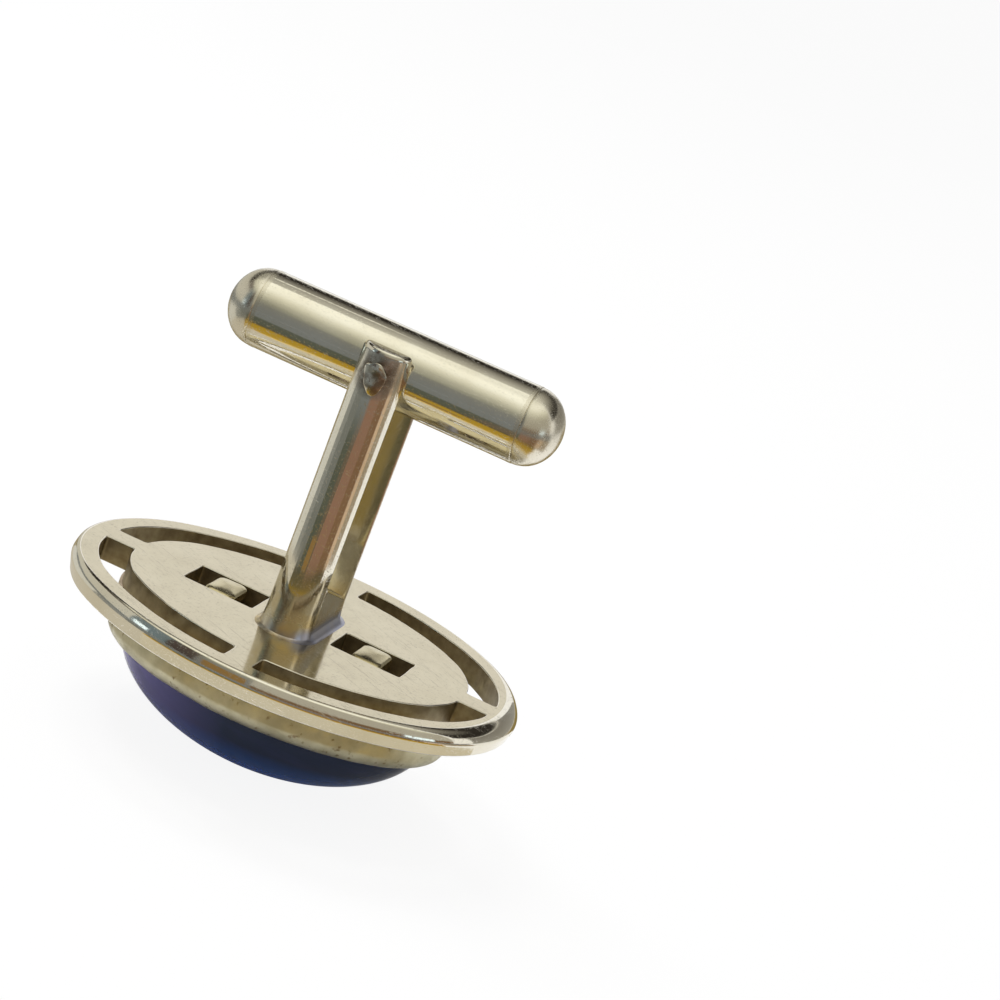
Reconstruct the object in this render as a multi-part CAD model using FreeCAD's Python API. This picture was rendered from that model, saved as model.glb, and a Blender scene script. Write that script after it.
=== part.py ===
import FreeCAD, Part
import math
import os

# Bullet-back swivel cufflink: a pierced oval back with a domed stone, a forked post and a swivelling bar.
# Millimetres. The origin is the centre of the flat back face, +Z runs up the post, and +X runs along
# the long axis of the oval, which is also the bar's direction at rest.

# Pierced oval back
frame_half_length = 12.0
frame_half_breadth = 9.8
frame_side_fullness = 1.25
sheet_thickness = 1.3
ring_band = 1.25
ring_shoulder_radius = 0.5
ring_front_chamfer = 0.2
slot_width = 1.6
slot_corner_radius = 0.25
bridge_width = 1.5
window_length = 3.85
window_width = 2.6
window_centre = 4.12
window_corner_radius = 0.12

# Stone and the cup that holds it
stone_half_length = 8.5
stone_half_breadth = 6.8
stone_girdle_height = 1.1
stone_dome_height = 4.75
stone_clearance = 0.03
bezel_wall = 0.75
bezel_floor = 0.5
bezel_lip_depth = 0.6
bezel_lip_radius = 0.65

# Lugs of the cup in the windows
stud_length = 1.7
stud_side_gap = 0.1
stud_rise = 0.1
stud_round_radius = 0.45

# Swivelling bar
bar_radius = 2.0
tube_length = 14.4
tube_wall = 0.5
tube_rim_radius = 0.25
plug_dome_radius = 1.75
plug_shank_length = 1.4
plug_fit = 0.01

# Forked post
pin_height = 13.95
swing_clearance = 0.1
leg_width = 2.6
leg_thickness = 1.1
leg_rise = 1.25
leg_top_radius = 0.2
root_half_width = 1.5
root_bite = 0.1
root_corner_radius = 0.25
ramp_low_height = 1.4
ramp_high_height = 2.9
foot_spread = 0.45
foot_height = 0.5
foot_corner_radius = 1.2
foot_seam = 0.05
foot_waist_share = 0.3

# Pivot pin
pin_radius = 0.55
pin_seat_fit = 0.01
pin_running_fit = 0.04
pin_proud = 0.2
pin_end_radius = 0.15
detent_flat_depth = 0.05
detent_flat_margin = 0.2
detent_flats = 4

# Leaf springs
spring_thickness = 0.25
spring_width = 1.8
spring_clearance = 0.02
spring_end_gap = 0.15

# Cuts run this far past the faces they open, and heights this close are one height
overrun = 0.5
same_height = 0.001

# Sizes worked out from the ones above
frame_end_radius = frame_half_breadth - frame_side_fullness
plate_inset = ring_band + slot_width
stone_back = -sheet_thickness - bezel_floor
stone_girdle_edge = stone_back - stone_girdle_height
bezel_lip = stone_girdle_edge - bezel_lip_depth
bezel_half_length = stone_half_length + stone_clearance + bezel_wall
bezel_half_breadth = stone_half_breadth + stone_clearance + bezel_wall
leg_inner = bar_radius + swing_clearance
leg_outer = leg_inner + leg_thickness
leg_top = pin_height + leg_rise
tube_bore_radius = bar_radius - tube_wall
spring_seat = pin_radius + spring_clearance
spring_half_length = tube_length / 2 - plug_shank_length - spring_end_gap

X_AXIS = FreeCAD.Vector(1, 0, 0)
Y_AXIS = FreeCAD.Vector(0, 1, 0)
Z_AXIS = FreeCAD.Vector(0, 0, 1)
PIN_CENTRE = FreeCAD.Vector(0, 0, pin_height)


def point(x, y, z):
    return FreeCAD.Vector(x, y, z)


def oval(half_length, half_breadth, z):
    """Closed wire of an ellipse about the post's axis; half_length lies along X."""
    centre = point(0, 0, z)
    along = point(half_length, 0, z)
    across = point(0, half_breadth, z)
    if half_length < half_breadth:
        along, across = across, along
    return Part.Wire(Part.Ellipse(along, across, centre).toShape())


def oval_prism(half_length, half_breadth, bottom, top):
    return Part.Face(oval(half_length, half_breadth, bottom)).extrude(Z_AXIS * (top - bottom))


def frame_outline(inset, z):
    """Closed wire of the frame's four-arc oval, drawn in all round by the inset."""
    end_centre = frame_half_length - frame_end_radius
    side_centre = (end_centre ** 2 - frame_side_fullness ** 2) / (2 * frame_side_fullness)
    end_radius = frame_end_radius - inset
    between_centres = math.hypot(end_centre, side_centre)
    x = end_centre + end_radius * end_centre / between_centres
    y = end_radius * side_centre / between_centres
    edges = []
    for side in (-1, 1):
        end = point(side * (frame_half_length - inset), 0, z)
        flank = point(0, side * (frame_half_breadth - inset), z)
        edges.append(Part.Arc(point(side * x, -y, z), end, point(side * x, y, z)))
        edges.append(Part.Arc(point(-x, side * y, z), flank, point(x, side * y, z)))
    return Part.Wire(Part.__sortEdges__([edge.toShape() for edge in edges]))


def frame_prism(inset, bottom, top):
    return Part.Face(frame_outline(inset, bottom)).extrude(Z_AXIS * (top - bottom))


def rounded_oblong(half_width, half_length, corner_radius, z):
    """Closed wire of a round-cornered rectangle about the post's axis; half_length lies along Y."""
    x = half_width - corner_radius
    y = half_length - corner_radius
    diagonal = corner_radius * math.sqrt(0.5)
    edges = []
    for side in (-1, 1):
        edges.append(Part.LineSegment(point(-x, side * half_length, z), point(x, side * half_length, z)))
        edges.append(Part.LineSegment(point(side * half_width, -y, z), point(side * half_width, y, z)))
        for end in (-1, 1):
            start = point(side * half_width, end * y, z)
            middle = point(side * (x + diagonal), end * (y + diagonal), z)
            edges.append(Part.Arc(start, middle, point(side * x, end * half_length, z)))
    return Part.Wire(Part.__sortEdges__([edge.toShape() for edge in edges]))


def centred_box(length, breadth, bottom, top, centre_x=0):
    corner = point(centre_x - length / 2, -breadth / 2, bottom)
    return Part.makeBox(length, breadth, top - bottom, corner)


def edges_at_height(shape, z):
    """Edges that lie wholly at one height."""
    found = []
    for edge in shape.Edges:
        heights = [vertex.Z for vertex in edge.Vertexes] + [edge.CenterOfMass.z]
        if all(abs(height - z) < same_height for height in heights):
            found.append(edge)
    return found


def upright_edges(shape):
    """Straight edges along Z."""
    found = []
    for edge in shape.Edges:
        run = edge.lastVertex().Point - edge.firstVertex().Point
        if run.Length > same_height and abs(run.z) > run.Length - same_height:
            found.append(edge)
    return found


def slot_cutters():
    """The four slots between ring and plate, parted by the bridges."""
    bottom = -sheet_thickness - overrun
    band = frame_prism(ring_band, bottom, overrun).cut(frame_prism(plate_inset, bottom, overrun))
    reach = 2 * frame_half_length
    span = 2 * frame_half_breadth
    band = band.cut(centred_box(reach, bridge_width, bottom, overrun))
    band = band.cut(centred_box(bridge_width, span, bottom, overrun))
    return [slot.makeFillet(slot_corner_radius, upright_edges(slot)) for slot in band.Solids]


def window_cutter(side):
    bottom = -sheet_thickness - overrun
    block = centred_box(window_length, window_width, bottom, overrun, side * window_centre)
    return block.makeFillet(window_corner_radius, upright_edges(block))


def make_back_frame():
    frame = frame_prism(0, -sheet_thickness, 0)
    frame = frame.makeFillet(ring_shoulder_radius, edges_at_height(frame, 0))
    frame = frame.makeChamfer(ring_front_chamfer, edges_at_height(frame, -sheet_thickness))
    return frame.cut(slot_cutters() + [window_cutter(side) for side in (-1, 1)])


def stone_form(grow):
    """Straight girdle and half-ellipsoid dome, grown sideways and outward by the same amount."""
    half_length = stone_half_length + grow
    half_breadth = stone_half_breadth + grow
    girdle = oval_prism(half_length, half_breadth, stone_girdle_edge, stone_back)
    dome = Part.makeSphere(1, point(0, 0, 0), Z_AXIS, -90, 0, 360)
    stretch = FreeCAD.Matrix()
    stretch.scale(half_length, half_breadth, stone_dome_height + grow)
    dome = dome.transformGeometry(stretch)
    dome.translate(point(0, 0, stone_girdle_edge))
    return girdle.fuse(dome).removeSplitter()


def make_bezel_cup():
    cup = oval_prism(bezel_half_length, bezel_half_breadth, bezel_lip, -sheet_thickness)
    cup = cup.makeFillet(bezel_lip_radius, edges_at_height(cup, bezel_lip))
    return cup.cut(stone_form(stone_clearance))


def make_setting_stud(side):
    """Lug with a pillowed top, standing on the cup in the middle of a window."""
    breadth = window_width - 2 * stud_side_gap
    lug = centred_box(stud_length, breadth, -sheet_thickness, stud_rise, side * window_centre)
    return lug.makeFillet(stud_round_radius, edges_at_height(lug, stud_rise))


def make_leg(side):
    """Half-round leg: flat towards the bar, round outside, eased at the top."""
    left = point(-leg_width / 2, side * leg_inner, 0)
    right = point(leg_width / 2, side * leg_inner, 0)
    crown = point(0, side * leg_outer, 0)
    profile = Part.Wire([Part.LineSegment(left, right).toShape(), Part.Arc(right, crown, left).toShape()])
    leg = Part.Face(profile).extrude(Z_AXIS * leg_top)
    return leg.makeFillet(leg_top_radius, edges_at_height(leg, leg_top))


def make_root():
    """Solid root between the legs, its top cut to a ramp that falls from one leg to the other."""
    half_length = leg_inner + root_bite
    middle = (ramp_low_height + ramp_high_height) / 2
    fall = (ramp_high_height - ramp_low_height) / (2 * leg_inner)
    reach = half_length + overrun
    top = middle + fall * reach + overrun
    plan = rounded_oblong(root_half_width, half_length, root_corner_radius, 0)
    root = Part.Face(plan).extrude(Z_AXIS * top)
    x = -root_half_width - overrun
    corners = [
        point(x, -reach, middle + fall * reach),
        point(x, reach, middle - fall * reach),
        point(x, reach, top + overrun),
        point(x, -reach, top + overrun),
    ]
    waste = Part.Face(Part.makePolygon(corners + corners[:1])).extrude(X_AXIS * (-2 * x))
    return root.cut(waste)


def make_foot():
    """Flared fillet of solder round the foot of the post."""
    rings = []
    for height, spread in ((0, foot_spread), (foot_waist_share * foot_height, foot_waist_share * foot_spread),
                           (foot_height, 0)):
        grow = foot_seam + spread
        rings.append(rounded_oblong(root_half_width + grow, leg_outer + grow, foot_corner_radius + grow, height))
    return Part.makeLoft(rings, True, False)


def pin_bore(fit):
    length = 2 * (leg_outer + pin_proud + overrun)
    return Part.makeCylinder(pin_radius + fit, length, PIN_CENTRE - Y_AXIS * (length / 2), Y_AXIS)


def make_post_fork():
    fork = make_root().fuse([make_foot(), make_leg(-1), make_leg(1)]).removeSplitter()
    return fork.cut(pin_bore(pin_seat_fit))


def make_pivot_pin():
    """Round pin with eased ends and shallow flats in the middle for the springs to drop on."""
    length = 2 * (leg_outer + pin_proud)
    pin = Part.makeCylinder(pin_radius, length, PIN_CENTRE - Y_AXIS * (length / 2), Y_AXIS)
    ends = [edge for edge in pin.Edges if isinstance(edge.Curve, Part.Circle)]
    pin = pin.makeFillet(pin_end_radius, ends)
    flat_length = spring_width + 2 * detent_flat_margin
    for turn in range(detent_flats):
        bottom = pin_height + pin_radius - detent_flat_depth
        flat = centred_box(2 * pin_radius, flat_length, bottom, pin_height + pin_radius + overrun)
        flat.rotate(PIN_CENTRE, Y_AXIS, turn * 360 / detent_flats)
        pin = pin.cut(flat)
    return pin


def bar_cylinder(radius, start, end):
    return Part.makeCylinder(radius, end - start, PIN_CENTRE + X_AXIS * start, X_AXIS)


def make_swivel_tube():
    end = tube_length / 2
    tube = bar_cylinder(bar_radius, -end, end)
    rims = [edge for edge in tube.Edges if isinstance(edge.Curve, Part.Circle)]
    tube = tube.makeFillet(tube_rim_radius, rims)
    tube = tube.cut(bar_cylinder(tube_bore_radius, -end - overrun, end + overrun))
    return tube.cut(pin_bore(pin_running_fit))


def make_end_plug(side):
    """Domed plug: a shank pressed into the tube and a round nose outside."""
    end = tube_length / 2
    plug = bar_cylinder(tube_bore_radius - plug_fit, end - plug_shank_length, end)
    dome = Part.makeSphere(plug_dome_radius, PIN_CENTRE + X_AXIS * end, X_AXIS, 0, 90, 360)
    plug = plug.fuse(dome).removeSplitter()
    if side < 0:
        plug.rotate(PIN_CENTRE, Z_AXIS, 180)
    return plug


def make_detent_spring(side):
    """Bowed strip whose middle bears on the pin and whose ends bear on the tube's bore."""
    reach = math.sqrt((tube_bore_radius - spring_clearance) ** 2 - (spring_width / 2) ** 2)
    end_seat = reach - spring_thickness
    y = -spring_width / 2

    def bow(lift):
        ends = [point(x, y, end_seat + lift) for x in (-spring_half_length, spring_half_length)]
        return ends, Part.Arc(ends[0], point(0, y, spring_seat + lift), ends[1]).toShape()

    inner_ends, inner = bow(0)
    outer_ends, outer = bow(spring_thickness)
    tips = [Part.LineSegment(a, b).toShape() for a, b in zip(inner_ends, outer_ends)]
    strip = Part.Face(Part.Wire(Part.__sortEdges__([inner, outer] + tips))).extrude(Y_AXIS * spring_width)
    strip.translate(PIN_CENTRE)
    if side < 0:
        strip.rotate(PIN_CENTRE, X_AXIS, 180)
    return strip


pieces = {
    "back_frame": make_back_frame(),
    "bezel_cup": make_bezel_cup(),
    "cabochon": stone_form(0),
    "setting_stud_left": make_setting_stud(-1),
    "setting_stud_right": make_setting_stud(1),
    "post_fork": make_post_fork(),
    "pivot_pin": make_pivot_pin(),
    "swivel_tube": make_swivel_tube(),
    "end_plug_left": make_end_plug(-1),
    "end_plug_right": make_end_plug(1),
    "detent_spring_upper": make_detent_spring(1),
    "detent_spring_lower": make_detent_spring(-1),
}

os.makedirs("parts", exist_ok=True)
for name, shape in pieces.items():
    shape.exportStep(f"parts/{name}.step")
    box = shape.BoundBox
    print(f"{name}: {len(shape.Solids)} solid, {shape.Volume:.2f} mm3, valid {shape.isValid()}, "
          f"z {box.ZMin:.2f} to {box.ZMax:.2f}")
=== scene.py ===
import math

import bpy
from mathutils import Matrix, Vector, geometry, noise


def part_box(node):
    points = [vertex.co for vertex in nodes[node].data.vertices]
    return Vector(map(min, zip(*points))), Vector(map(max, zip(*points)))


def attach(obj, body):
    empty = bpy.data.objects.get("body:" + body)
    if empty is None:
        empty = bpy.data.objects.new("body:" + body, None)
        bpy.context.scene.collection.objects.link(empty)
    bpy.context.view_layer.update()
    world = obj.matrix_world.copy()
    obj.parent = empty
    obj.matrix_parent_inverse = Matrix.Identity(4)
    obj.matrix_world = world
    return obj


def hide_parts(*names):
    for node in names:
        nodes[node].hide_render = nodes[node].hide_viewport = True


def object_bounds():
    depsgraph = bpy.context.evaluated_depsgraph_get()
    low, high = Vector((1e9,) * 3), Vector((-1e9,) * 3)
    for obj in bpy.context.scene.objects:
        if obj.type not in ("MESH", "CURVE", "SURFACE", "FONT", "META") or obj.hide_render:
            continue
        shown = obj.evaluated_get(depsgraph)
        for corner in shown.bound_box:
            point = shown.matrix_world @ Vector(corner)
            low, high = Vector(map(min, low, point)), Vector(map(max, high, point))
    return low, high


# Bullet-back swivel cufflink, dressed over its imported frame. Metres, in the frame's own axes:
# +Z up the post, +X along the oval and the bar at rest, the origin on the flat back face.
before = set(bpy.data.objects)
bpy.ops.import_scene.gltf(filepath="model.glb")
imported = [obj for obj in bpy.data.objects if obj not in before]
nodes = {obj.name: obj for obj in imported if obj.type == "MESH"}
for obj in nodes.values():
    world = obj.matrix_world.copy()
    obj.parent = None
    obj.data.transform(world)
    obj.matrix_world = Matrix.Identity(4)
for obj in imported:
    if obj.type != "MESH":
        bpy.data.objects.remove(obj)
cad_low, cad_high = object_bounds()
scene = bpy.context.scene
sheet_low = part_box("back_frame")[0].z
post_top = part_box("post_fork")[1].z
pin_height = (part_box("pivot_pin")[0].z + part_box("pivot_pin")[1].z) / 2

# Camera, matched to the photograph: focal length in pixels, place and two directions
picture_width = 1000
focal_pixels = 2659
sensor_width = 36
camera_place = Vector((0.030646, -0.121775, 0.044659))
camera_right = Vector((0.89536, 0.27242, 0.35230))
camera_up = Vector((-0.40654, 0.17702, 0.89632))
near_clip = 0.001

# Pierced back
frame_half_length = 0.012
frame_half_breadth = 0.0098
frame_side_fullness = 0.00125
ring_band = 0.00125
slot_width = 0.0016
bridge_width = 0.0015
slot_corner = 0.0002
window_length = 0.00385
window_width = 0.0026
window_centre = 0.00412
window_corner = 0.00015
crown_length = 0.00023
worn_crown_length = 0.0009
bevel_length = 0.00045
worn_bevel_loss = 0.00035
bevel_high_slope = 25
bevel_low_slope = 8
turn_length = 0.0001
undercut_slope = 14
front_edge_radius = 0.0001
worn_end_power = 5
sawn_edge_radius = 0.00005
saw_wander = 0.00003
saw_wander_scale = 900

# Stone and the cup that holds it
stone_half_length = 0.0085
stone_half_breadth = 0.0068
stone_dome_height = 0.00475
stone_girdle_height = 0.0011
stone_seat_gap = 0.00001
bezel_wall = 0.00075
bezel_floor = 0.0005
bezel_round_height = 0.0008
lip_depth = 0.0006
lip_end_dip = 0.00035
lip_end_power = 4
lip_thickness = 0.00012
lip_tip_thickness = 0.00004
lip_wander = 0.00003
lip_wander_scale = 700
stone_seat = sheet_low - bezel_floor
girdle_edge = stone_seat - stone_girdle_height

# Lugs in the windows
lug_corner = 0.0004
lug_edge_radius = 0.00024
lug_crown = 0.00006
lug_ring_shares = (0.1, 0.3, 0.5, 0.7, 0.85)
lug_dent = 0.00004
lug_dent_scale = 1300

# Forked post
leg_inner = 0.0021
leg_outer = 0.0032
leg_width = 0.0026
leg_corner = 0.00012
leg_top_radius = 0.00028
leg_flare = 0.00014
leg_flare_height = 0.0016
leg_flare_power = 3
root_half_width = 0.0013
root_half_length = 0.00213
root_corner = 0.00018
root_edge_radius = 0.00022
ramp_low_height = 0.0014
ramp_high_height = 0.0029
foot_half_width = 0.00128
foot_half_length = 0.00315
foot_corner = 0.00125
foot_height = 0.0005
foot_spread = 0.00042
foot_wander_share = 0.25
foot_wander_scale = 160
pin_radius = 0.00055
pin_seat_fit = 0.00001
rivet_radius = 0.00058
rivet_length_share = 1.7
rivet_uneven_share = 0.25
rivet_uneven_scale = 1.05
rivet_seat = 0.0028
rivet_edge = 0.00001
rivet_dome = 0.00007
rivet_dent = 0.00006
rivet_dent_scale = 1900

# Plugs, soldered into the bar and polished nearly flush with it
plug_shank_radius = 0.00149
plug_shank_length = 0.0014
plug_nose_shrink = 0.000015
plug_rim_cover = 0.00026
plug_skin = 0.000004
seam_width = 0.00006
seam_depth = 0.00002

# How finely outlines and round edges are divided, and how closely angles and lengths are met
outline_step = 0.00012
oval_count = 360
stone_count = 180
dome_count = 48
turned_count = 48
nose_count = 18
corner_count = 16
fine_round_count = 12
round_count = 6
small_round_count = 3
angle_tolerance = 1e-6
length_tolerance = 1e-12

# Angles in degrees over which an edge stays sharp
stone_crease = 50
turned_crease = 40
fork_crease = 30

# Room that the polished metal mirrors
room_radius = 0.4
room_grey = (0.20, 0.215, 0.22)
near_mat_start = 0.0145
gold_mat_start = 0.0185
far_mat_start = 0.036


# Outlines in the plane of the back

def oval_point(inset, angle):
    """Point of the back's four-arc oval whose outward normal stands at this angle, drawn in by
    the inset."""
    end_radius = frame_half_breadth - frame_side_fullness
    end_centre = frame_half_length - end_radius
    side_centre = (end_centre ** 2 - frame_side_fullness ** 2) / (2 * frame_side_fullness)
    x = math.cos(angle)
    y = math.sin(angle)
    if abs(y) * end_centre < abs(x) * side_centre:
        radius = end_radius - inset
        return Vector((math.copysign(end_centre, x) + radius * x, radius * y))
    radius = frame_half_breadth + side_centre - inset
    return Vector((radius * x, radius * y - math.copysign(side_centre, y)))


def oval_angle(inset, axis, distance):
    """Angle in the first quarter at which the oval stands this far from the axis numbered 0 or 1."""
    low, high = 0, math.pi / 2
    rising = axis == 1
    while high - low > angle_tolerance:
        middle = (low + high) / 2
        if (oval_point(inset, middle)[axis] < distance) == rising:
            low = middle
        else:
            high = middle
    return low


def full_turn(count):
    return [2 * math.pi * step / count for step in range(count)]


def quarter_turn(count):
    """Cosines and sines of a quarter turn."""
    angles = [math.pi / 2 * step / count for step in range(count + 1)]
    return [(math.cos(angle), math.sin(angle)) for angle in angles]


def walk(line, start, end):
    """Evenly spaced points along an open line, between two distances from its first point."""
    count = max(1, math.ceil((end - start) / outline_step))
    wanted = [start + (end - start) * step / count for step in range(count + 1)]
    found = []
    gone = 0
    for first, second in zip(line, line[1:]):
        length = (second - first).length
        while wanted and wanted[0] <= gone + length + length_tolerance:
            share = (wanted.pop(0) - gone) / length
            found.append(first.lerp(second, min(1, max(0, share))))
        gone += length
    return found


def join_sides(sides, corner):
    """Closed outline from open lines laid end to end, with each meeting rounded off."""
    cut = []
    for side in sides:
        length = sum((second - first).length for first, second in zip(side, side[1:]))
        cut.append(walk(side, corner, length - corner))
    outline = []
    for number, side in enumerate(cut):
        outline += side
        tip = sides[number][-1]
        after = cut[(number + 1) % len(cut)][0]
        for step in range(1, round_count):
            share = step / round_count
            outline.append(side[-1].lerp(tip, share).lerp(tip.lerp(after, share), share))
    return outline


def oblong(half_x, half_y, corner):
    """Round-cornered rectangle, anticlockwise, with the same number of points at any size."""
    loop = []
    for number, (side_x, side_y) in enumerate(((1, 1), (-1, 1), (-1, -1), (1, -1))):
        middle = Vector((side_x * (half_x - corner), side_y * (half_y - corner)))
        for step in range(corner_count + 1):
            angle = math.pi / 2 * (number + step / corner_count)
            loop.append(middle + corner * Vector((math.cos(angle), math.sin(angle))))
    return loop


def outline_normals(loop):
    """Unit vectors to the right of the way round: out of the metal on every edge."""
    found = []
    for before, after in zip(loop[-1:] + loop[:-1], loop[1:] + loop[:1]):
        along = (after - before).normalized()
        found.append(Vector((along.y, -along.x)))
    return found


def wandering(loop, amount, scale):
    """The outline with the slow unevenness of a hand tool."""
    moved = []
    for place, out in zip(loop, outline_normals(loop)):
        moved.append(place + out * amount * noise.noise(Vector((place.x, place.y, amount)) * scale))
    return moved


def slot_outline(side_x, side_y):
    """One of the four slots between ring and plate, run clockwise."""
    half_bridge = bridge_width / 2
    arcs = []
    for inset in (ring_band, ring_band + slot_width):
        first = oval_angle(inset, 1, half_bridge)
        last = oval_angle(inset, 0, half_bridge)
        count = math.ceil((last - first) * frame_half_length / outline_step)
        arcs.append([oval_point(inset, first + (last - first) * step / count)
                     for step in range(count + 1)])
    outer, inner = arcs
    inner.reverse()
    loop = join_sides([outer, [outer[-1], inner[0]], inner, [inner[-1], outer[0]]], slot_corner)
    loop = [Vector((side_x * place.x, side_y * place.y)) for place in loop]
    if side_x * side_y > 0:
        loop.reverse()
    return wandering(loop, saw_wander, saw_wander_scale)


def window_outline(side):
    """Rectangular window on the long axis, run clockwise."""
    corners = []
    for along, across in ((1, -1), (-1, -1), (-1, 1), (1, 1)):
        x = side * window_centre + along * window_length / 2
        corners.append(Vector((x, across * window_width / 2)))
    sides = [[first, second] for first, second in zip(corners, corners[1:] + corners[:1])]
    return wandering(join_sides(sides, window_corner), saw_wander, saw_wander_scale)


# Meshes

class Shell:
    """Points, normals and faces of one mesh, gathered ring by ring."""

    def __init__(self):
        self.points = []
        self.normals = []
        self.faces = []
        self.finishes = []

    def ring(self, places, normals=None):
        first = len(self.points)
        self.points += places
        self.normals += normals or [Vector((0, 0, 1))] * len(places)
        return range(first, first + len(places))

    def face(self, corners, finish=0):
        self.faces.append(tuple(corners))
        self.finishes.append(finish)

    def bands(self, rings, finish=0):
        """Quads between rings that run the same way round, each below the last; out is to the right."""
        for upper, lower in zip(rings, rings[1:]):
            for here in range(len(upper)):
                there = (here + 1) % len(upper)
                self.face((upper[here], lower[here], lower[there], upper[there]), finish)

    def close(self, rings, finish=0):
        """Bands between the rings, and flat ends on the first and last."""
        self.bands(rings, finish)
        self.face(rings[0], finish)
        self.face(reversed(rings[-1]), finish)

    def fill(self, rings, up, finish=0):
        """Flat face bounded by the first ring, with the other rings as holes."""
        order = [index for ring in rings for index in ring]
        flat = [[self.points[index] for index in ring] for ring in rings]
        for corners in geometry.tessellate_polygon(flat):
            a, b, c = (order[corner] for corner in corners)
            turn = (self.points[b] - self.points[a]).cross(self.points[c] - self.points[a])
            if (turn.z > 0) != up:
                b, c = c, b
            self.face((a, b, c), finish)

    def mesh(self, name, own_normals=False):
        mesh = bpy.data.meshes.new(name)
        mesh.from_pydata(self.points, [], self.faces)
        mesh.polygons.foreach_set("material_index", self.finishes)
        mesh.shade_smooth()
        if own_normals:
            mesh.normals_split_custom_set_from_vertices(self.normals)
        return mesh


def edge_rings(shell, loop, profiles):
    """Rings along an outline: each point's profile gives, ring by ring, how far out, how high and
    how its normal leans."""
    normals = outline_normals(loop)
    rings = []
    for level in zip(*profiles):
        places = []
        leans = []
        for place, normal, (out, height, lean_out, lean_up) in zip(loop, normals, level):
            places.append((place + normal * out).to_3d() + Vector((0, 0, height)))
            leans.append(((normal * lean_out).to_3d() + Vector((0, 0, lean_up))).normalized())
        rings.append(shell.ring(places, leans))
    return rings


def upper_round(radius, top, count):
    """Profile of a rounded upper edge, from its flat face down to its wall."""
    return [(-radius * (1 - sine), top - radius * (1 - cosine), sine, cosine)
            for cosine, sine in quarter_turn(count)]


def lower_round(radius, bottom, count, inset=0):
    """Profile of a rounded lower edge, from its wall down to its flat face."""
    return [(-inset - radius * (1 - cosine), bottom + radius * (1 - sine), cosine, -sine)
            for cosine, sine in quarter_turn(count)]


def add_object(name, data):
    made = bpy.data.objects.new(name, data)
    scene.collection.objects.link(made)
    return made


def stand(mesh, body, replaced, materials):
    """Makes a piece of the object from a mesh, hides the part it stands for and attaches it to the body
    it moves with.
    """
    piece = add_object(mesh.name, mesh)
    for material in materials:
        mesh.materials.append(material)
    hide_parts(replaced)
    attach(piece, body)
    return piece


def crease(mesh, degrees):
    mesh.set_sharp_from_angle(angle=math.radians(degrees))


def weigh_normals(piece):
    """Lets wide flat faces keep their own normals beside narrow round edges."""
    piece.modifiers.new("weighted_normals", "WEIGHTED_NORMAL").keep_sharp = True


def combine(name, base_mesh, steps):
    """One mesh from a base and a list of operations and meshes, in order."""
    base = add_object("base", base_mesh)
    tools = []
    for operation, mesh in steps:
        tool = add_object("tool", mesh)
        change = base.modifiers.new("change", "BOOLEAN")
        change.operation = operation
        change.solver = "EXACT"
        change.object = tool
        tools.append(tool)
    graph = bpy.context.evaluated_depsgraph_get()
    made = bpy.data.meshes.new_from_object(base.evaluated_get(graph))
    made.name = name
    for helper in [base] + tools:
        bpy.data.objects.remove(helper)
    made.shade_smooth()
    return made


# Pieces

def bent_profile(turns):
    """Profile that leaves the flat top: each turn has the slope of its normal at its start and
    end, in degrees over the level, and a length."""
    out, height = 0, 0
    profile = [(out, height, 0, 1)]
    for start, end, length in turns:
        for step in range(round_count):
            middle = math.radians(start + (end - start) * (step + 1 / 2) / round_count)
            out += math.sin(middle) * length / round_count
            height -= math.cos(middle) * length / round_count
            slope = math.radians(start + (end - start) * (step + 1) / round_count)
            profile.append((out, height, math.cos(slope), math.sin(slope)))
    return profile


def ring_edge(worn_share):
    """Profile of the ring's outside: a crown, broader where it is worn, a steep bevel and an
    undercut wall."""
    upright_slope = 90
    crown = crown_length + worn_crown_length * worn_share
    bevel = bevel_length - worn_bevel_loss * worn_share
    profile = bent_profile([(upright_slope, bevel_high_slope, crown),
                            (bevel_high_slope, bevel_low_slope, bevel),
                            (bevel_low_slope, -undercut_slope, turn_length)])
    reach = max(out for out, *_ in profile)
    profile = [(out - reach, *rest) for out, *rest in profile]
    out, height, lean_out, lean_up = profile[-1]
    wall_low = sheet_low + front_edge_radius
    inset = (height - wall_low) * math.tan(math.radians(undercut_slope)) - out
    profile.append((-inset, wall_low, lean_out, lean_up))
    return profile + lower_round(front_edge_radius, sheet_low, round_count, inset)[1:]


def make_back_frame(materials):
    """The pierced oval: flat faces, sawn walls in the slots and windows, a polished shoulder and
    wall outside."""
    flat, sawn, polished = range(3)
    shell = Shell()
    outer = [oval_point(0, angle) for angle in full_turn(oval_count)]
    worn_shares = [max(0, place.x / frame_half_length) ** worn_end_power for place in outer]
    rings = edge_rings(shell, outer, [ring_edge(share) for share in worn_shares])
    shell.bands(rings, polished)
    tops = [rings[0]]
    bottoms = [rings[-1]]
    holes = [slot_outline(side_x, side_y) for side_x in (-1, 1) for side_y in (-1, 1)]
    holes += [window_outline(side) for side in (-1, 1)]
    upper_edge = upper_round(sawn_edge_radius, 0, small_round_count)
    lower_edge = lower_round(sawn_edge_radius, sheet_low, small_round_count)
    for loop in holes:
        upper = edge_rings(shell, loop, [upper_edge] * len(loop))
        lower = edge_rings(shell, loop, [lower_edge] * len(loop))
        shell.bands(upper, polished)
        shell.bands([upper[-1]] + lower, sawn)
        tops.append(upper[0])
        bottoms.append(lower[-1])
    shell.fill(tops, True, flat)
    shell.fill(bottoms, False, flat)
    stand(shell.mesh("pierced_back", True), "head", "back_frame", materials)


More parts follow.
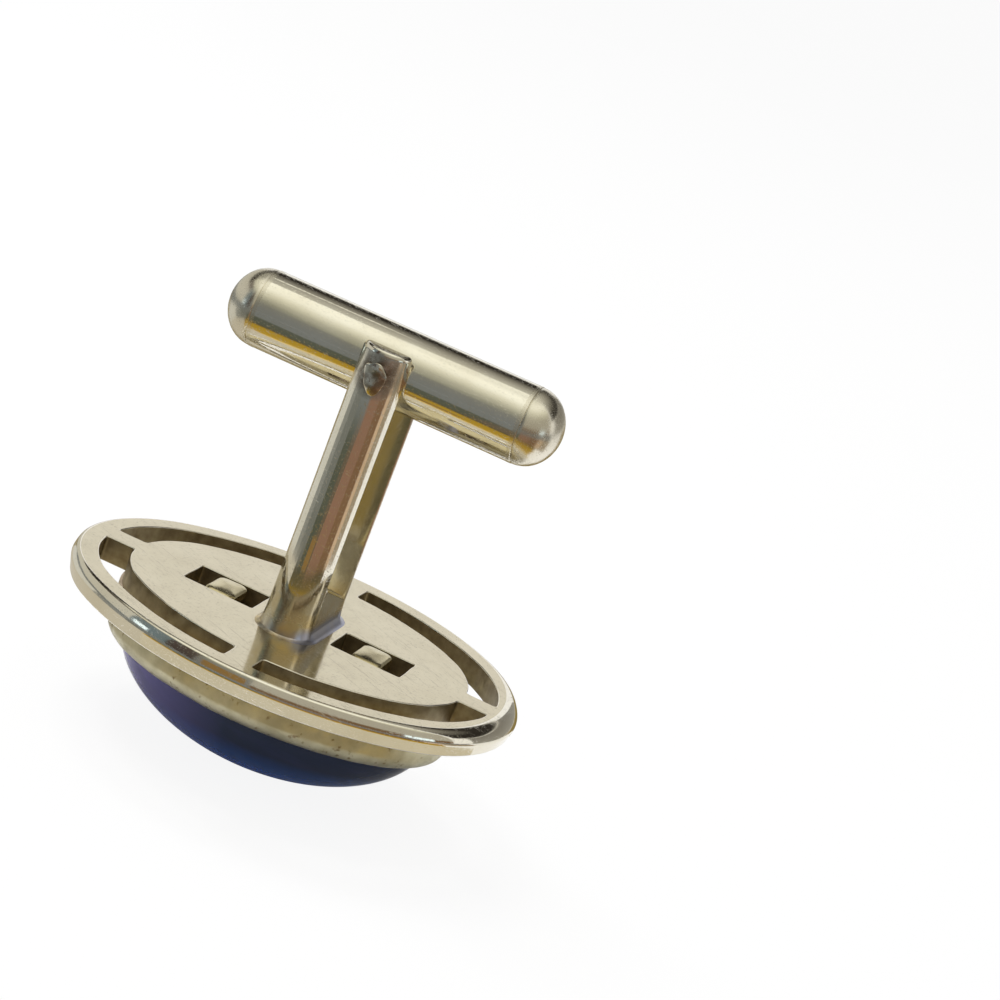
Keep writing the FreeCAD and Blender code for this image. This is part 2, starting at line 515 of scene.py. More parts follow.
def ellipse_point(share, grow, angle):
    """Point of the stone's outline drawn in to a share of its size, then pushed out square to
    its edge."""
    half_length = stone_half_length * share
    half_breadth = stone_half_breadth * share
    out = Vector((math.cos(angle) / half_length, math.sin(angle) / half_breadth)).normalized()
    return Vector((half_length * math.cos(angle), half_breadth * math.sin(angle))) + out * grow


def make_bezel(materials):
    """The cup under the plate: a wall that rolls in to a thin worn lip on the stone, and a grimy
    upper face."""
    gilt, grime = range(2)
    bright_ring_count = 4
    angles = full_turn(oval_count)
    depths = [lip_depth + lip_end_dip * math.cos(angle) ** lip_end_power for angle in angles]
    lip_shares = [math.sqrt(1 - (depth / stone_dome_height) ** 2) for depth in depths]
    lip_ends = [girdle_edge - depth for depth in depths]
    shell = Shell()

    def ring(choose):
        """Ring whose share of the stone's outline, growth and height come from each point's number."""
        places = []
        for number, angle in enumerate(angles):
            share, grow, height = choose(number)
            edge = ellipse_point(share, grow, angle).to_3d()
            uneven = lip_wander * noise.noise(edge * lip_wander_scale) if height < stone_seat else 0
            places.append(edge + Vector((0, 0, height + uneven)))
        return shell.ring(places)

    def rolled(cosine, sine):
        def choose(number):
            lip_out = stone_half_length * (lip_shares[number] - 1) + lip_thickness
            height = lip_ends[number] + bezel_round_height * (1 - sine)
            return 1, lip_out + (bezel_wall - lip_out) * cosine, height
        return choose

    rings = [ring(lambda number: (1, bezel_wall, sheet_low))]
    rings += [ring(rolled(cosine, sine)) for cosine, sine in quarter_turn(fine_round_count)]
    rings.append(ring(lambda number: (lip_shares[number], lip_tip_thickness, lip_ends[number])))
    rings.append(ring(lambda number: (lip_shares[number], stone_seat_gap,
                                      lip_ends[number] + lip_tip_thickness)))
    bright = rings[-bright_ring_count:]
    rings.append(ring(lambda number: (1, stone_seat_gap, girdle_edge)))
    rings.append(ring(lambda number: (1, stone_seat_gap, stone_seat)))
    shell.bands(rings, gilt)
    shell.face(rings[0], grime)
    shell.face(reversed(rings[-1]), gilt)
    mesh = shell.mesh("bezel")
    lip = mesh.attributes.new("lip", "FLOAT", "POINT")
    for band in bright:
        for index in band:
            lip.data[index].value = 1
    crease(mesh, stone_crease)
    weigh_normals(stand(mesh, "head", "bezel_cup", materials))


def make_stone(materials):
    """Domed oval stone with a straight girdle and a flat back."""
    angles = full_turn(stone_count)
    levels = [(1, stone_seat)]
    for share, drop in quarter_turn(dome_count)[:-1]:
        levels.append((share, girdle_edge - stone_dome_height * drop))
    shell = Shell()
    rings = []
    for share, height in levels:
        level = Vector((0, 0, height))
        rings.append(shell.ring([ellipse_point(share, 0, angle).to_3d() + level for angle in angles]))
    shell.bands(rings)
    shell.face(rings[0])
    crown = shell.ring([Vector((0, 0, girdle_edge - stone_dome_height))])[0]
    last = rings[-1]
    for here in range(len(last)):
        shell.face((last[here], crown, last[(here + 1) % len(last)]))
    mesh = shell.mesh("stone")
    crease(mesh, stone_crease)
    stand(mesh, "head", "cabochon", materials)


def make_lug(name, node_name, materials):
    """Pillowed lug in a window, dented by the tool that set it."""
    low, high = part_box(node_name)
    centre_x = (low.x + high.x) / 2
    half_x = (high.x - low.x) / 2
    half_y = (high.y - low.y) / 2
    shell = Shell()

    def ring(inset, share, height):
        places = []
        for place in oblong(half_x - inset, half_y - inset, lug_corner):
            x = centre_x + place.x * share
            y = place.y * share
            dent = lug_dent * (noise.noise(Vector((x, y, 0)) * lug_dent_scale) - 1) / 2
            places.append(Vector((x, y, height + dent)))
        return shell.ring(places)

    rings = []
    for share in lug_ring_shares:
        rings.append(ring(lug_edge_radius, share, high.z - lug_crown * share ** 2))
    for out, height, _, _ in upper_round(lug_edge_radius, high.z - lug_crown, round_count):
        rings.append(ring(-out, 1, height))
    rings.append(ring(0, 1, low.z))
    for index in rings[-1]:
        shell.points[index].z = low.z
    shell.close(rings)
    weigh_normals(stand(shell.mesh(name), "head", node_name, materials))


def leg_round():
    """Radius of a leg's round face, and the distance of its centre from the middle of the post."""
    rise = leg_outer - leg_inner
    radius = ((leg_width / 2) ** 2 + rise ** 2) / (2 * rise)
    return radius, leg_outer - radius


def leg_outline(side):
    """Half-round section of a leg, flat towards the bar, run anticlockwise."""
    radius, centre = leg_round()
    start = math.atan2(leg_inner - centre, leg_width / 2)
    count = math.ceil(radius * math.pi / outline_step)
    arc = []
    for step in range(count + 1):
        angle = start + (math.pi - 2 * start) * step / count
        arc.append(Vector((radius * math.cos(angle), centre + radius * math.sin(angle))))
    loop = join_sides([arc, [arc[-1], arc[0]]], leg_corner)
    if side < 0:
        loop = [Vector((place.x, -place.y)) for place in reversed(loop)]
    return loop


def leg_mesh(side):
    """Leg with an eased top that swells a little towards its foot."""
    loop = leg_outline(side)
    middle = sum(loop, Vector((0, 0))) / len(loop)
    shell = Shell()
    rings = []
    for cosine, sine in quarter_turn(round_count):
        shrink = leg_top_radius * (1 - sine) / (leg_width / 2)
        height = Vector((0, 0, post_top - leg_top_radius * (1 - cosine)))
        rings.append(shell.ring([place.lerp(middle, shrink).to_3d() + height for place in loop]))
    profile = []
    for step in range(corner_count + 1):
        share = step / corner_count
        profile.append((leg_flare * share ** leg_flare_power, leg_flare_height * (1 - share), 1, 0))
    rings += edge_rings(shell, loop, [profile] * len(loop))
    shell.close(rings)
    return shell.mesh("leg")


def root_mesh():
    """Block between the legs whose top is a ramp with eased edges."""
    loop = oblong(root_half_width, root_half_length, root_corner)
    middle = (ramp_low_height + ramp_high_height) / 2
    fall = (ramp_high_height - ramp_low_height) / (2 * leg_inner)
    shell = Shell()
    rings = []
    for cosine, sine in quarter_turn(round_count):
        places = []
        for place in loop:
            x = math.copysign(abs(place.x) - root_edge_radius * (1 - sine), place.x)
            height = middle - fall * place.y - root_edge_radius * (1 - cosine)
            places.append(Vector((x, place.y, height)))
        rings.append(shell.ring(places))
    rings.append(shell.ring([place.to_3d() for place in loop]))
    shell.close(rings)
    return shell.mesh("root")


def foot_mesh():
    """Cove of solder, spread unevenly round the foot."""
    loop = oblong(foot_half_width, foot_half_length, foot_corner)
    normals = outline_normals(loop)
    shell = Shell()
    rings = []
    for cosine, sine in quarter_turn(corner_count):
        places = []
        for place, normal in zip(loop, normals):
            wander = 1 + foot_wander_share * noise.noise(place.to_3d() * foot_wander_scale)
            moved = place + normal * foot_spread * wander * (1 - cosine)
            places.append(Vector((moved.x, moved.y, foot_height * wander * (1 - sine))))
        rings.append(shell.ring(places))
    shell.close(rings)
    return shell.mesh("foot")


def lathe(name, profile):
    """Round body about the pin's axis: the profile gives places along Y and radii, far end first."""
    shell = Shell()
    rings = []
    for along, radius in profile:
        places = []
        for angle in full_turn(turned_count):
            height = pin_height - radius * math.sin(angle)
            places.append(Vector((radius * math.cos(angle), along, height)))
        rings.append(shell.ring(places))
    shell.close(rings)
    return shell.mesh(name)


def make_fork(materials):
    """Two half-round legs, the ramped root between them and the foot, with the hole for the pin."""
    reach = 2 * leg_outer
    bore_radius = pin_radius + pin_seat_fit
    bore = lathe("bore", [(reach, bore_radius), (-reach, bore_radius)])
    steps = [("UNION", mesh) for mesh in (leg_mesh(1), root_mesh(), foot_mesh())]
    steps.append(("DIFFERENCE", bore))
    mesh = combine("fork", leg_mesh(-1), steps)
    crease(mesh, fork_crease)
    weigh_normals(stand(mesh, "head", "post_fork", materials))


def rivet_edge_points(side):
    """Outline of a rivet's head about the pin's axis: uneven, and hammered longer towards the foot."""
    edge = []
    for angle in full_turn(turned_count):
        place = Vector((math.cos(angle), 0, -math.sin(angle)))
        spot = (place + Vector((0, side, 0))) * rivet_uneven_scale
        uneven = 1 + rivet_uneven_share * noise.noise(spot)
        if place.z < 0:
            place.z *= rivet_length_share
        edge.append(place * rivet_radius * uneven)
    return edge


def rivet_head_rings(shell, side):
    """Rings of a low head that follows the leg's round face, from its middle out and down to the pin."""
    face_radius, face_centre = leg_round()
    edge = rivet_edge_points(side)
    middle = Vector((0, 0, pin_height))
    seat = Vector((0, side * rivet_seat, 0))
    rings = []
    for cosine, sine in quarter_turn(fine_round_count)[1:]:
        places = []
        for out in edge:
            place = middle + out * sine
            face = face_centre + math.sqrt(face_radius ** 2 - place.x ** 2)
            dent = rivet_dent * noise.noise((place + seat) * rivet_dent_scale) * cosine
            place.y = side * (face + rivet_edge + rivet_dome * cosine + dent)
            places.append(place)
        rings.append(shell.ring(places))
    rings.append(shell.ring([middle + seat + out for out in edge]))
    rings.append(shell.ring([middle + seat + out.normalized() * pin_radius for out in edge]))
    return rings


def make_rivet(materials):
    """Pin whose ends are hammered into low uneven heads."""
    shell = Shell()
    rings = rivet_head_rings(shell, 1)
    rings += reversed(rivet_head_rings(shell, -1))
    shell.close(rings)
    mesh = shell.mesh("rivet")
    crease(mesh, turned_crease)
    weigh_normals(stand(mesh, "head", "pivot_pin", materials))


def make_plug(name, node_name, side, materials):
    """Plug of the bar: a shank, a skin of solder over the tube's rim, a fine seam and a rounded nose."""
    tube_low, tube_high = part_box("swivel_tube")
    low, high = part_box(node_name)
    end = tube_high.x
    bar_radius = (tube_high.z - tube_low.z) / 2
    nose_length = max(high.x, -low.x) - end
    nose_radius = bar_radius - plug_nose_shrink
    profile = []
    for cosine, sine in quarter_turn(nose_count):
        profile.append((end + nose_length * cosine, nose_radius * sine))
    # The tip is a small flat disc and not a point
    profile[0] = (end + nose_length, profile[1][1] / 2)
    profile += [(end - seam_width / 2, nose_radius - seam_depth),
                (end - seam_width, bar_radius + plug_skin),
                (end - plug_rim_cover, bar_radius + plug_skin),
                (end - plug_rim_cover, plug_shank_radius),
                (end - plug_shank_length, plug_shank_radius)]
    mesh = lathe(name, profile)
    mesh.transform(Matrix.Rotation(-side * math.pi / 2, 4, "Z"))
    crease(mesh, turned_crease)
    weigh_normals(stand(mesh, "bar", node_name, materials))


# Materials

def add_node(tree, kind, inputs=None, **settings):
    made = tree.nodes.new("ShaderNode" + kind)
    for key, value in settings.items():
        setattr(made, key, value)
    for key, value in (inputs or {}).items():
        if isinstance(value, bpy.types.NodeSocket):
            tree.links.new(value, made.inputs[key])
        else:
            made.inputs[key].default_value = value
    return made


def new_material(name, constants):
    """Material, its tree and its surface, with the inputs that are the same all over."""
    material = bpy.data.materials.new(name)
    material.use_nodes = True
    tree = material.node_tree
    surface = tree.nodes["Principled BSDF"]
    for key, value in constants.items():
        surface.inputs[key].default_value = value
    return material, tree, surface


def object_place(tree, stretch=(1, 1, 1), turn=(0, 0, 0)):
    """Place on the object, turned and then divided by the stretch along each axis."""
    place = add_node(tree, "TexCoord").outputs["Object"]
    inputs = {"Vector": place, "Scale": stretch, "Rotation": turn}
    return add_node(tree, "Mapping", inputs, vector_type="TEXTURE").outputs[0]


def noise_value(tree, scale, detail=3, stretch=(1, 1, 1), turn=(0, 0, 0)):
    inputs = {"Vector": object_place(tree, stretch, turn), "Scale": scale, "Detail": detail}
    return add_node(tree, "TexNoise", inputs).outputs[0]


def mapped(tree, value, low, high, start=0.3, end=0.7):
    """The value spread so that its start gives low and its end gives high, and held beyond them."""
    inputs = {"Value": value, "From Min": start, "From Max": end, "To Min": low, "To Max": high}
    return add_node(tree, "MapRange", inputs).outputs[0]


def mixed(tree, share, first, second):
    """Mix of two colours, each a socket or three numbers."""
    colour_inputs = (6, 7)
    colour_output = 2
    node = add_node(tree, "Mix", {0: share}, data_type="RGBA")
    for key, colour in zip(colour_inputs, (first, second)):
        if isinstance(colour, bpy.types.NodeSocket):
            tree.links.new(colour, node.inputs[key])
        else:
            node.inputs[key].default_value = (*colour, 1)
    return node.outputs[colour_output]


def combined(tree, operation, first, second):
    return add_node(tree, "Math", {0: first, 1: second}, operation=operation).outputs[0]


def distance_from(tree, centre, weights):
    """Distance from a point, or from an axis through it where a weight is zero."""
    kind = "VectorMath"
    place = add_node(tree, "TexCoord").outputs["Object"]
    moved = add_node(tree, kind, {0: place, 1: centre}, operation="SUBTRACT").outputs[0]
    weighed = add_node(tree, kind, {0: moved, 1: weights}, operation="MULTIPLY").outputs[0]
    return add_node(tree, kind, {0: weighed}, operation="LENGTH").outputs["Value"]


def cloud(tree, surface, scale, first, second, detail=4):
    """Colours a surface with a cloudy mix of two colours."""
    share = mapped(tree, noise_value(tree, scale, detail), 0, 1)
    tree.links.new(mixed(tree, share, first, second), surface.inputs["Base Color"])


def stain(tree, surface, mask, colour):
    """Lays a colour over what already feeds the surface, where the mask says."""
    under = surface.inputs["Base Color"].links[0].from_socket
    tree.links.new(mixed(tree, mask, under, colour), surface.inputs["Base Color"])


def roughen(tree, surface, mask):
    """Adds a mask to the roughness that already feeds the surface."""
    under = surface.inputs["Roughness"].links[0].from_socket
    tree.links.new(combined(tree, "ADD", under, mask), surface.inputs["Roughness"])


def emboss(tree, surface, height, strength, depth):
    bump = add_node(tree, "Bump", {"Height": height, "Strength": strength, "Distance": depth})
    tree.links.new(bump.outputs[0], surface.inputs["Normal"])


def worn_metal(name, bright, dull, smooth, rough):
    """Metal with a cloudy tone, uneven polish, straight scratches three ways and a slight waviness."""
    cloud_scale = 350
    cloud_detail = 3
    patch_scale = 900
    scratch_scale = 15600
    scratch_detail = 2
    scratch_stretch = (60, 1, 1)
    scratch_turns = ((0, 0.3, 0.35), (0.2, 0, -0.55), (0.1, 0.2, 1.3))
    scratch_start = 0.66
    scratch_end = 0.72
    scratch_depth = 0.000002
    wave_scale = 320
    wave_detail = 1
    wave_depth = 0.00001
    material, tree, surface = new_material(name, {"Metallic": 1})
    cloud(tree, surface, cloud_scale, bright, dull, cloud_detail)
    scratches = None
    for turn in scratch_turns:
        lines = noise_value(tree, scratch_scale, scratch_detail, scratch_stretch, turn)
        lines = mapped(tree, lines, 0, 1, scratch_start, scratch_end)
        scratches = combined(tree, "MAXIMUM", scratches, lines) if scratches else lines
    patches = mapped(tree, noise_value(tree, patch_scale), smooth, rough)
    lift = combined(tree, "MULTIPLY", scratches, rough - smooth)
    tree.links.new(combined(tree, "ADD", patches, lift), surface.inputs["Roughness"])
    waves = noise_value(tree, wave_scale, wave_detail)
    wave = add_node(tree, "Bump", {"Height": waves, "Distance": wave_depth})
    fine_inputs = {"Height": scratches, "Distance": scratch_depth, "Normal": wave.outputs[0]}
    fine = add_node(tree, "Bump", fine_inputs)
    tree.links.new(fine.outputs[0], surface.inputs["Normal"])
    return material, tree, surface


def polished_metal(name):
    return worn_metal(name, (0.86, 0.82, 0.71), (0.79, 0.74, 0.61), smooth=0.05, rough=0.11)


def post_metal():
    """Polished post, dulled towards its foot, with a mottled painted gold reflection low down, brown dirt
    there and round the rivet, and a painted blue reflection by the solder."""
    dirt = (0.15, 0.105, 0.07)
    dirt_scale = 1300
    dirt_roughness = 0.3
    foot_dirt_share = 0.7
    collar_radius = 0.0013
    painted_gold_reflection = (0.78, 0.60, 0.26)
    painted_reflection_scale = 800
    painted_reflection_share = 0.8
    painted_blue_reflection = (0.42, 0.45, 0.60)
    blue_reflection_share = 0.8
    dull_height = 0.0026
    dull_roughness = 0.25
    material, tree, surface = polished_metal("post_silver")
    broken = mapped(tree, noise_value(tree, dirt_scale, detail=4), 0, 1, start=0.32, end=0.52)
    from_pin = distance_from(tree, (0, 0, pin_height), (1, 0, 1))
    near_pin = mapped(tree, from_pin, 1, 0, rivet_radius, collar_radius)
    collar = combined(tree, "MULTIPLY", near_pin, broken)
    stain(tree, surface, collar, dirt)
    roughen(tree, surface, mapped(tree, collar, 0, dirt_roughness, 0, 1))
    height = distance_from(tree, (0, 0, 0), (0, 0, 1))
    near_plate = mapped(tree, height, foot_dirt_share, 0, 0, 2 * foot_height)
    stain(tree, surface, combined(tree, "MULTIPLY", near_plate, broken), dirt)
    # Painted gold reflection: mottled yellow low on the post stands in for the gold ground it mirrors
    reflection_mottle = mapped(tree, noise_value(tree, painted_reflection_scale), 0, 1, start=0.42, end=0.6)
    low = mapped(tree, height, painted_reflection_share, 0, foot_height, dull_height)
    stain(tree, surface, combined(tree, "MULTIPLY", low, reflection_mottle), painted_gold_reflection)
    # Painted blue reflection: a bluish band along the root's lower right edge, by the solder
    from_right = distance_from(tree, (root_half_width, 0, 0), (1, 0, 1))
    near_right_reflection = mapped(tree, from_right, blue_reflection_share, 0, foot_spread, 2 * foot_spread)
    stain(tree, surface, near_right_reflection, painted_blue_reflection)
    roughen(tree, surface, mapped(tree, height, dull_roughness, 0, 0, dull_height))
    return material


def rivet_metal():
    """Hammered pin end with dirt in its dents."""
    dirt = (0.22, 0.16, 0.11)
    dirt_scale = 1600
    dirt_share = 0.9
    dirt_roughness = 0.25
    material, tree, surface = polished_metal("rivet_silver")
    spots = mapped(tree, noise_value(tree, dirt_scale, detail=4), 0, 1, start=0.4, end=0.6)
    stain(tree, surface, combined(tree, "MULTIPLY", spots, dirt_share), dirt)
    roughen(tree, surface, combined(tree, "MULTIPLY", spots, dirt_roughness))
    return material


def sawn_metal():
    """Rough brown walls left by the saw."""
    light = (0.44, 0.37, 0.23)
    dark = (0.24, 0.19, 0.11)
    tone_scale = 1500
    cut_scale = 2500
    cut_detail = 2
    cut_stretch = (1, 1, 10)
    cut_strength = 0.4
    cut_depth = 0.00004
    material, tree, surface = new_material("sawn_silver", {"Metallic": 1, "Roughness": 0.45})
    cloud(tree, surface, tone_scale, light, dark)
    cuts = noise_value(tree, cut_scale, cut_detail, cut_stretch)
    emboss(tree, surface, cuts, cut_strength, cut_depth)
    return material


def gilt_metal():
    """Olive gilt with brown specks and a cream line where the lip is worn bright."""
    light = (0.56, 0.525, 0.37)
    dark = (0.41, 0.375, 0.25)
    tone_scale = 900
    speck = (0.17, 0.11, 0.05)
    speck_scale = 2600
    speck_share = 0.75
    worn = (0.80, 0.74, 0.60)
    patch_scale = 1800
    smooth = 0.28
    rough = 0.5
    grain_scale = 2200
    grain_detail = 4
    grain_strength = 0.25
    grain_depth = 0.00004
    material, tree, surface = new_material("pale_gilt", {"Metallic": 1})
    cloud(tree, surface, tone_scale, light, dark)
    specks = mapped(tree, noise_value(tree, speck_scale), 0, speck_share, start=0.62, end=0.72)
    stain(tree, surface, specks, speck)
    lip = add_node(tree, "Attribute", attribute_name="lip").outputs["Fac"]
    stain(tree, surface, lip, worn)
    patches = mapped(tree, noise_value(tree, patch_scale), smooth, rough)
    tree.links.new(patches, surface.inputs["Roughness"])
    emboss(tree, surface, noise_value(tree, grain_scale, grain_detail), grain_strength, grain_depth)
    return material


def grime_material():
    """Matt brown grime on the cup's upper face, seen down the windows."""
    light = (0.56, 0.46, 0.35)
    dark = (0.36, 0.285, 0.20)
    tone_scale = 1500
    material, tree, surface = new_material("grime", {"Roughness": 0.6})
    cloud(tree, surface, tone_scale, light, dark)
    return material


def stone_material():
    """Nearly black navy stone, royal blue towards its crown (partly its own colour, partly a painted glow
    of light through it), violet at one end, faintly streaked.
    """
    navy = (0.018, 0.024, 0.045)
    blue = (0.008, 0.045, 0.17)
    royal_and_glow = (0.005, 0.09, 0.50)
    navy_share, blue_share, royal_glow_share = 0.6, 0.35, 0.1
    violet = (0.13, 0.11, 0.29)
    violet_share = 0.8
    violet_end_share = 0.8
    streaked = (0.03, 0.035, 0.09)
    streak_share = 0.3
    streak_scale = 1440
    streak_detail = 4
    streak_stretch = (6, 2, 1)
    streak_turn = (0.3, 0.2, 0.5)
    gloss = {"Roughness": 0.06, "IOR": 1.55, "Specular IOR Level": 0.1}
    material, tree, surface = new_material("blue_stone", gloss)
    along, _, height = add_node(tree, "SeparateXYZ", {0: object_place(tree)}).outputs
    blue_height = cad_low.z + stone_dome_height * blue_share
    deep = mapped(tree, height, 0, 1, cad_low.z + stone_dome_height * navy_share, blue_height)
    tree.links.new(mixed(tree, deep, navy, blue), surface.inputs["Base Color"])
    # Royal blue towards the crown: partly the stone's colour, partly painted glow of light passing
    # through it
    crown = mapped(tree, height, 0, 1, blue_height, cad_low.z + stone_dome_height * royal_glow_share)
    stain(tree, surface, crown, royal_and_glow)
    violet_end = -stone_half_length * violet_end_share
    stain(tree, surface, mapped(tree, along, 0, violet_share, 0, violet_end), violet)
    streaks = noise_value(tree, streak_scale, streak_detail, streak_stretch, streak_turn)
    stain(tree, surface, mapped(tree, streaks, 0, streak_share, start=0.5, end=0.75), streaked)
    return material


def dress(node_name, material):
    slots = nodes[node_name].data.materials
    slots.clear()
    slots.append(material)


# Camera, light and stage

def make_camera():
    data = bpy.data.cameras.new("camera")
    data.lens = focal_pixels / picture_width * sensor_width
    data.sensor_width = sensor_width
    data.clip_start = near_clip
    camera = add_object("camera", data)
    back = camera_right.cross(camera_up)
    turn = Matrix((camera_right, camera_up, back)).transposed().to_4x4()
    camera.matrix_world = Matrix.Translation(camera_place) @ turn
    scene.camera = camera


def make_world():
    """White to the eye and in reflections, a softer white for light on matt surfaces."""
    white = (1, 1, 1, 1)
    soft_strength = 0.6
    world = bpy.data.worlds.new("studio")
    scene.world = world
    world.use_nodes = True
    tree = world.node_tree
    tree.nodes.clear()
    rays = add_node(tree, "LightPath").outputs
    seen = combined(tree, "MAXIMUM", rays["Is Camera Ray"], rays["Is Glossy Ray"])
    seen = combined(tree, "MAXIMUM", seen, rays["Is Transmission Ray"])
    soft = add_node(tree, "Background", {"Color": white, "Strength": soft_strength})
    full = add_node(tree, "Background", {"Color": white, "Strength": 1})
    both = add_node(tree, "MixShader", {0: seen, 1: soft.outputs[0], 2: full.outputs[0]})
    add_node(tree, "OutputWorld", {"Surface": both.outputs[0]})


def make_floor():
    """Wide white floor that keeps a faint shadow of the object."""
    half = 20
    own_light_share = 0.9
    corners = [(side_x * half, side_y * half, cad_low.z)
               for side_x, side_y in ((-1, -1), (1, -1), (1, 1), (-1, 1))]
    mesh = bpy.data.meshes.new("floor")
    mesh.from_pydata(corners, [], [(0, 1, 2, 3)])
    floor = add_object("floor", mesh)
    matt = {"Base Color": (0.92, 0.92, 0.92, 1), "Roughness": 0.9}
    material, tree, surface = new_material("floor_white", matt)
    rays = add_node(tree, "LightPath").outputs
    glow = add_node(tree, "Emission", {"Color": (1, 1, 1, 1), "Strength": 1})
    share = combined(tree, "MULTIPLY", rays["Is Camera Ray"], own_light_share)
    both = add_node(tree, "MixShader", {0: share, 1: surface.outputs[0], 2: glow.outputs[0]})
    tree.links.new(both.outputs[0], tree.nodes["Material Output"].inputs["Surface"])
    mesh.materials.append(material)


def card_material():
    material = bpy.data.materials.new("studio_card")
    material.use_nodes = True
    tree = material.node_tree
    tree.nodes.clear()
    tone = add_node(tree, "Attribute", attribute_name="tone").outputs["Color"]
    glow = add_node(tree, "Emission", {"Color": tone, "Strength": 1})
    add_node(tree, "OutputMaterial", {"Surface": glow.outputs[0]})
    return material


def make_card(name, span, rows, material):
    """Curved studio card that only reflections show. The span is two bearings in degrees from the
    camera's side towards +X, and each row is a distance from the post, a height and a colour."""
    step_degrees = 5
    count = max(1, round((span[1] - span[0]) / step_degrees))
    bearings = [math.radians(span[0] + (span[1] - span[0]) * step / count) for step in range(count + 1)]
    points = []
    colours = []
    for distance, height, colour in rows:
        for bearing in bearings:
            points.append((distance * math.sin(bearing), -distance * math.cos(bearing), height))
            colours.append((*colour, 1))
    faces = []
    width = count + 1
    for row in range(len(rows) - 1):
        for column in range(count):
            corner = row * width + column
            faces.append((corner, corner + 1, corner + width + 1, corner + width))
    mesh = bpy.data.meshes.new(name)
    mesh.from_pydata(points, [], faces)
    tone = mesh.color_attributes.new("tone", "FLOAT_COLOR", "POINT")
    for index, colour in enumerate(colours):
        tone.data[index].color = colour
    mesh.materials.append(material)
    card = add_object(name, mesh)
    for ray in ("camera", "diffuse", "transmission", "volume_scatter", "shadow"):
        setattr(card, "visible_" + ray, False)


def make_dome(name, span, tones, material):
    """Part of a far dome: tones are elevations in degrees and colours."""
    rows = []
    for elevation, colour in tones:
        angle = math.radians(elevation)
        rows.append((room_radius * math.cos(angle), room_radius * math.sin(angle), colour))
    make_card(name, span, rows, material)


def make_mat(name, span, tones, material):
    """Card lying just over the floor: tones are distances from the post and colours."""
    lift = 0.0002
    make_card(name, span, [(distance, cad_low.z + lift, colour) for distance, colour in tones], material)


def make_room(material):
    """Walls that differ from sector to sector, under one bright sky, and a dark flag behind."""
    overhead = (0.75, 0.74, 0.66)
    pale_haze = (0.60, 0.585, 0.52)
    haze = (0.45, 0.43, 0.37)
    dusk = (0.12, 0.10, 0.09)
    umber = (0.18, 0.11, 0.06)
    black = (0.03, 0.026, 0.022)
    sky = [(45, (0.66, 0.65, 0.54)), (54, (0.86, 0.85, 0.73)), (64, (1.08, 1.08, 0.98)),
           (74, (1.15, 1.15, 1.05)), (89, overhead)]
    for name, span, low_tones in (
            ("left_room", (-150, -62), [(-1, pale_haze), (29, pale_haze), (32, dusk), (40, dusk)]),
            ("steel_room", (-62, -42), [(-1, (0.15, 0.20, 0.23)), (34, (0.19, 0.23, 0.25))]),
            ("dark_room", (-42, -28), [(-1, (0.07, 0.055, 0.05)), (36, (0.10, 0.08, 0.07))]),
            ("room", (-28, -3), [(-1, room_grey), (10, (0.205, 0.215, 0.215)),
                                 (20, (0.225, 0.23, 0.215)), (31, (0.34, 0.34, 0.28))]),
            ("right_room", (-3, 95), [(-1, umber), (6, umber), (9, haze), (34, haze)])):
        make_dome(name, span, low_tones + sky, material)
    flag = [(25, (0.8, 0.78, 0.72)), (28, black), (40, black), (50, (0.17, 0.16, 0.14)),
            (63, (0.36, 0.35, 0.31)), (78, (0.60, 0.59, 0.53)), (89, overhead)]
    make_dome("back_flag", (100, 260), flag, material)
    make_dome("right_back", (112, 176), [(-1, (0.34, 0.33, 0.30)), (25, (0.22, 0.21, 0.19))], material)


def make_near_mats(material):
    """Cream and gold ground close round the object."""
    tan = (0.60, 0.56, 0.47)
    make_mat("near_left_mat", (-150, -45), [(near_mat_start, tan), (far_mat_start, tan)], material)
    cream = [(near_mat_start, (0.62, 0.58, 0.48)), (gold_mat_start, (0.66, 0.60, 0.46))]
    make_mat("near_mat", (-45, 100), cream, material)
    gold_tones = [(gold_mat_start, (0.90, 0.74, 0.34)), (0.0192, (0.74, 0.53, 0.14)),
                  (0.0202, (0.46, 0.30, 0.035)), (0.0312, (0.42, 0.27, 0.03)),
                  (0.0325, (0.12, 0.10, 0.05)), (far_mat_start, (0.10, 0.09, 0.06))]
    make_mat("gold_mat", (-45, 80), gold_tones, material)


def make_far_mats(material):
    """Ground further off, a tone to a sector, that fades to the grey of the room."""
    wide_edge = 0.088
    short_edge = 0.068
    fade = 0.010
    sectors = (("pale_left_mat", (-160, -80), (0.68, 0.68, 0.64), wide_edge),
               ("far_left_mat", (-80, -60), (0.27, 0.28, 0.27), wide_edge),
               ("left_mat", (-60, -32), (0.19, 0.20, 0.19), wide_edge),
               ("dark_mat", (-32, -6), (0.10, 0.11, 0.085), short_edge),
               ("front_mat", (-6, 6), (0.15, 0.12, 0.085), short_edge),
               ("brown_mat", (6, 42), (0.28, 0.165, 0.115), wide_edge),
               ("deep_brown_mat", (42, 70), (0.22, 0.13, 0.075), wide_edge),
               ("pale_mat", (70, 84), (0.62, 0.46, 0.32), wide_edge),
               ("right_mat", (84, 106), (0.36, 0.30, 0.22), wide_edge))
    for name, span, tone, edge in sectors:
        make_mat(name, span, [(far_mat_start, tone), (edge, tone), (edge + fade, room_grey),
                              (room_radius, room_grey)], material)
    olive = (0.26, 0.20, 0.07)
    make_mat("back_mat", (145, 235), [(0.020, olive), (0.1, olive), (room_radius, (1, 1, 1))], material)


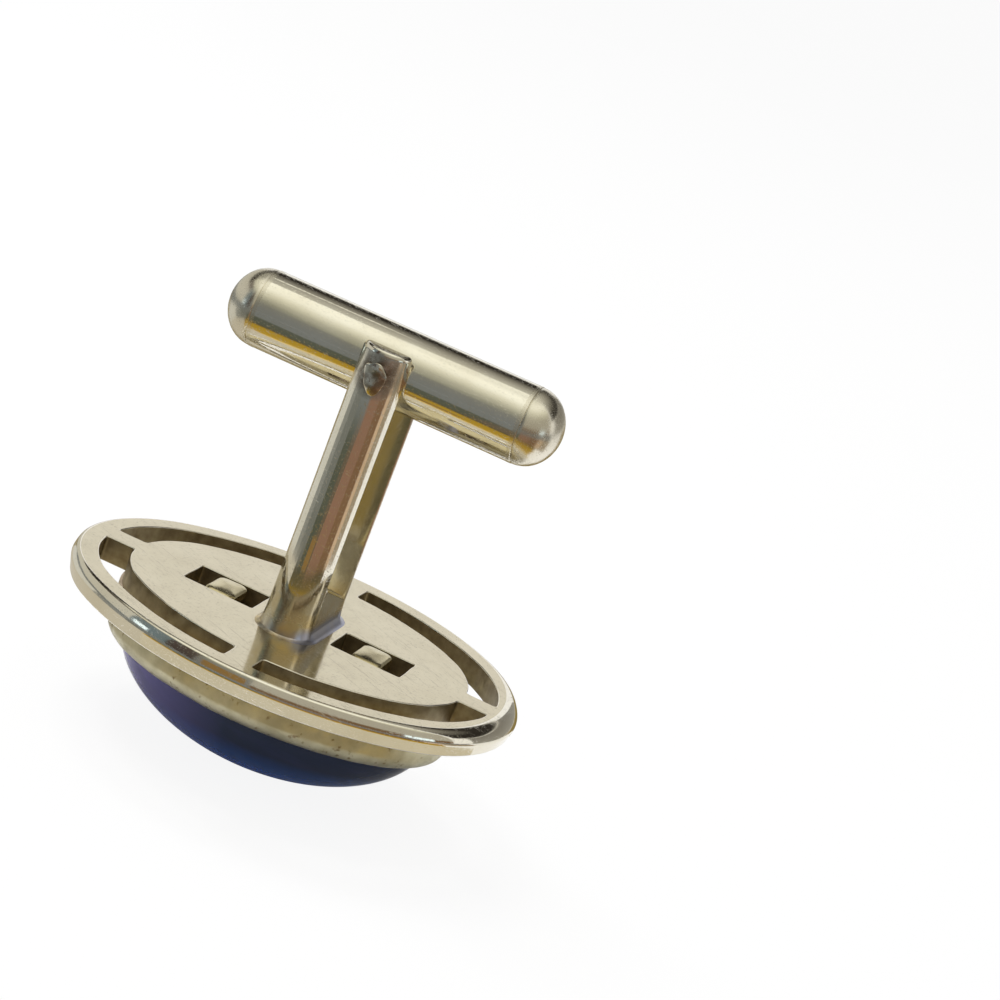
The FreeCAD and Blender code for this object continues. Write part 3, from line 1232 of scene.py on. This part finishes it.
def make_accents(material):
    """A small amber card low in front and two cool gleams far off."""
    amber = (0.27, 0.165, 0.06)
    amber_distance = 0.015
    make_card("amber_card", (-14, 2), [(amber_distance, -0.0004, amber), (amber_distance, 0.0016, amber)],
              material)
    gleam = (1.1, 1.3, 1.45)
    gleam_distance = 0.38
    for name, span, height in (("left_gleam", (-60, -52), 0.06), ("right_gleam", (62, 80), 0.05)):
        make_card(name, span, [(gleam_distance, 0, gleam), (gleam_distance, height, gleam)], material)


def make_cards():
    """The dim room round the object, as its polished metal shows it."""
    material = card_material()
    make_room(material)
    make_near_mats(material)
    make_far_mats(material)
    make_accents(material)


def make_lamp(name, place, aim, size, power):
    data = bpy.data.lights.new(name, "AREA")
    data.size = size
    data.energy = power
    lamp = add_object(name, data)
    lamp.location = place
    lamp.rotation_euler = (Vector(aim) - Vector(place)).to_track_quat("-Z", "Y").to_euler()
    lamp.visible_glossy = False


make_camera()
make_world()
make_floor()
make_cards()
make_lamp("key", place=(-0.15, 0.05, 0.30), aim=(0, 0, 0), size=0.15, power=0.8)

satin = worn_metal("satin_silver", (0.635, 0.57, 0.41), (0.58, 0.515, 0.36), smooth=0.08, rough=0.14)[0]
polished = polished_metal("polished_silver")[0]
dulled = worn_metal("dulled_silver", (0.80, 0.75, 0.63), (0.70, 0.65, 0.52), smooth=0.20, rough=0.28)[0]
gold = worn_metal("gold", (0.64, 0.56, 0.34), (0.50, 0.43, 0.25), smooth=0.12, rough=0.28)[0]
steel = worn_metal("spring_steel", (0.55, 0.55, 0.56), (0.45, 0.45, 0.46), smooth=0.25, rough=0.35)[0]

make_back_frame([satin, sawn_metal(), polished])
make_bezel([gilt_metal(), grime_material()])
make_stone([stone_material()])
make_lug("lug_left", "setting_stud_left", [gold])
make_lug("lug_right", "setting_stud_right", [gold])
make_fork([post_metal()])
make_rivet([rivet_metal()])
dress("swivel_tube", polished)
make_plug("plug_left", "end_plug_left", -1, [dulled])
make_plug("plug_right", "end_plug_right", 1, [dulled])
for node_name in ("detent_spring_upper", "detent_spring_lower"):
    dress(node_name, steel)
scene.view_settings.view_transform = "Standard"
